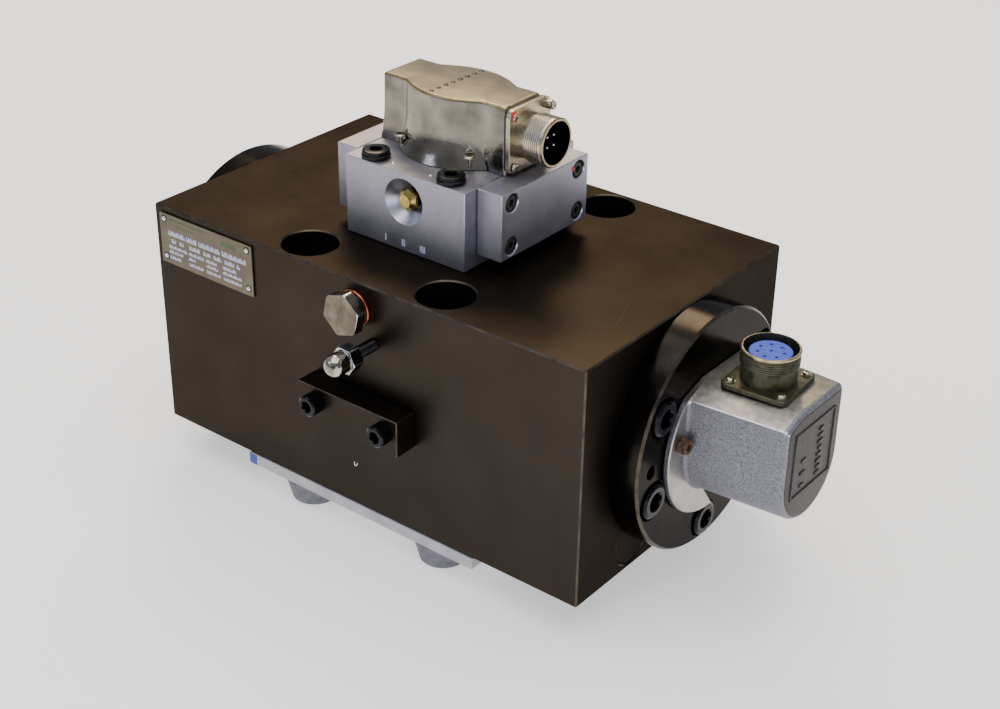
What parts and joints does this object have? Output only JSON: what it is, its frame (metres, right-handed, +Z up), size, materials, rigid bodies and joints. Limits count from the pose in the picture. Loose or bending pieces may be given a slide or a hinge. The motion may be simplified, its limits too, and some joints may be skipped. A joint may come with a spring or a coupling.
{
  "type": "servo hydraulic cylinder block",
  "caption": "Square-bodied hydraulic cylinder with round end heads, a servo valve on top, a position transducer behind the rear head and a drilled rod.",
  "frame": {"origin": "centre of the bounding box's base, on the surface that the feet stand on", "axes": "+X along the cylinder from the rod end to the transducer, -Y towards the front face with the plug and the cap nut, +Z up"},
  "size_m": [0.3468, 0.1766, 0.2021],
  "materials": {
    "black_oxide": "blackened steel with an oily brown-black sheen",
    "black_screw": "black oxide fasteners",
    "ground_steel": "ground and turned bright steel",
    "anodised": "grey-violet hard anodised aluminium",
    "cast_aluminium": "blasted casting with a machined top",
    "bright_can": "drawn and polished stainless cover",
    "nickel": "dull nickel plating",
    "olive_cadmium": "olive drab plating with bright worn edges",
    "blue_insert": "moulded blue insulator",
    "dark_insert": "moulded dark insulator",
    "brass": "turned brass",
    "bronze": "turned bearing bronze",
    "copper": "annealed copper sealing ring",
    "chrome": "hard chrome, mirror polished",
    "rusty_screw": "steel screw with surface rust",
    "plate_metal": "milled flat plate",
    "foot_rubber": "moulded grey rubber",
    "seal": "black sealing rubber",
    "label_metal": "etched metal foil plate",
    "copper_coil": "wound enamelled copper wire",
    "circuit_board": "green laminate board"
  },
  "bodies": {
    "cylinder": {"main_block": "black_oxide", "base_plate": "plate_metal", "foot_front_left": "foot_rubber", "foot_front_right": "foot_rubber", "foot_rear_left": "foot_rubber", "foot_rear_right": "foot_rubber", "cover_plate": "black_oxide", "cover_plate_screw_left": "black_screw", "cover_plate_screw_right": "black_screw", "copper_washer": "copper", "hex_plug": "ground_steel", "throttle_needle": "black_screw", "cap_nut": "chrome", "gallery_plug": "black_oxide", "nameplate": "label_metal", "rod_head": "black_oxide", "rod_head_screw_1": "black_screw", "rod_head_screw_2": "black_screw", "rod_head_screw_3": "black_screw", "rod_head_screw_4": "black_screw", "rod_head_screw_5": "black_screw", "rod_bush": "bronze", "rod_seal": "seal", "rod_wiper": "seal", "rear_head": "black_oxide", "rear_head_screw_1": "black_screw", "rear_head_screw_2": "black_screw", "rear_head_screw_3": "black_screw", "rear_head_screw_4": "black_screw", "rear_head_screw_5": "black_screw", "transducer_housing": "cast_aluminium", "transducer_stem": "ground_steel", "transducer_board": "circuit_board", "housing_screw_front": "rusty_screw", "housing_screw_rear": "rusty_screw", "sensor_connector_shell": "olive_cadmium", "sensor_connector_insert": "blue_insert", "valve_body": "anodised", "valve_cap_left": "anodised", "valve_cap_right": "anodised", "valve_screw_front_left": "black_screw", "valve_screw_front_right": "black_screw", "valve_screw_rear_left": "black_screw", "valve_screw_rear_right": "black_screw", "valve_sleeve": "ground_steel", "motor_frame": "black_oxide", "motor_coil_left": "copper_coil", "motor_coil_right": "copper_coil", "motor_cover": "bright_can", "valve_connector_shell": "nickel", "valve_connector_insert": "dark_insert"},
    "rod": {"piston_rod": "chrome", "rod_end": "chrome", "piston": "ground_steel", "piston_seal": "seal", "magnet_ring": "dark_insert"},
    "spool": {"valve_spool": "ground_steel"},
    "flapper": {"armature": "ground_steel"},
    "null_adjuster": {"null_screw": "brass"}
  },
  "joints": [
    {"name": "rod_slide", "type": "slide", "parent": "cylinder", "child": "rod", "axis": [-1, 0, 0], "range_m": [0, 0.1]},
    {"name": "spool_slide", "type": "slide", "parent": "cylinder", "child": "spool", "axis": [1, 0, 0], "range_m": [-0.0005, 0.0005], "stiffness_N_per_m": 2000},
    {"name": "flapper_tilt", "type": "hinge", "parent": "cylinder", "child": "flapper", "pos_m": [-0.0148, 0.0141, 0.184], "axis": [0, 1, 0], "range_deg": [-1, 1], "stiffness_Nm_per_rad": 2},
    {"name": "null_adjust_turn", "type": "hinge", "parent": "cylinder", "child": "null_adjuster", "pos_m": [-0.0148, -0.0253, 0.1577], "axis": [0, -1, 0], "range_deg": [-90, 90]}
  ]
}
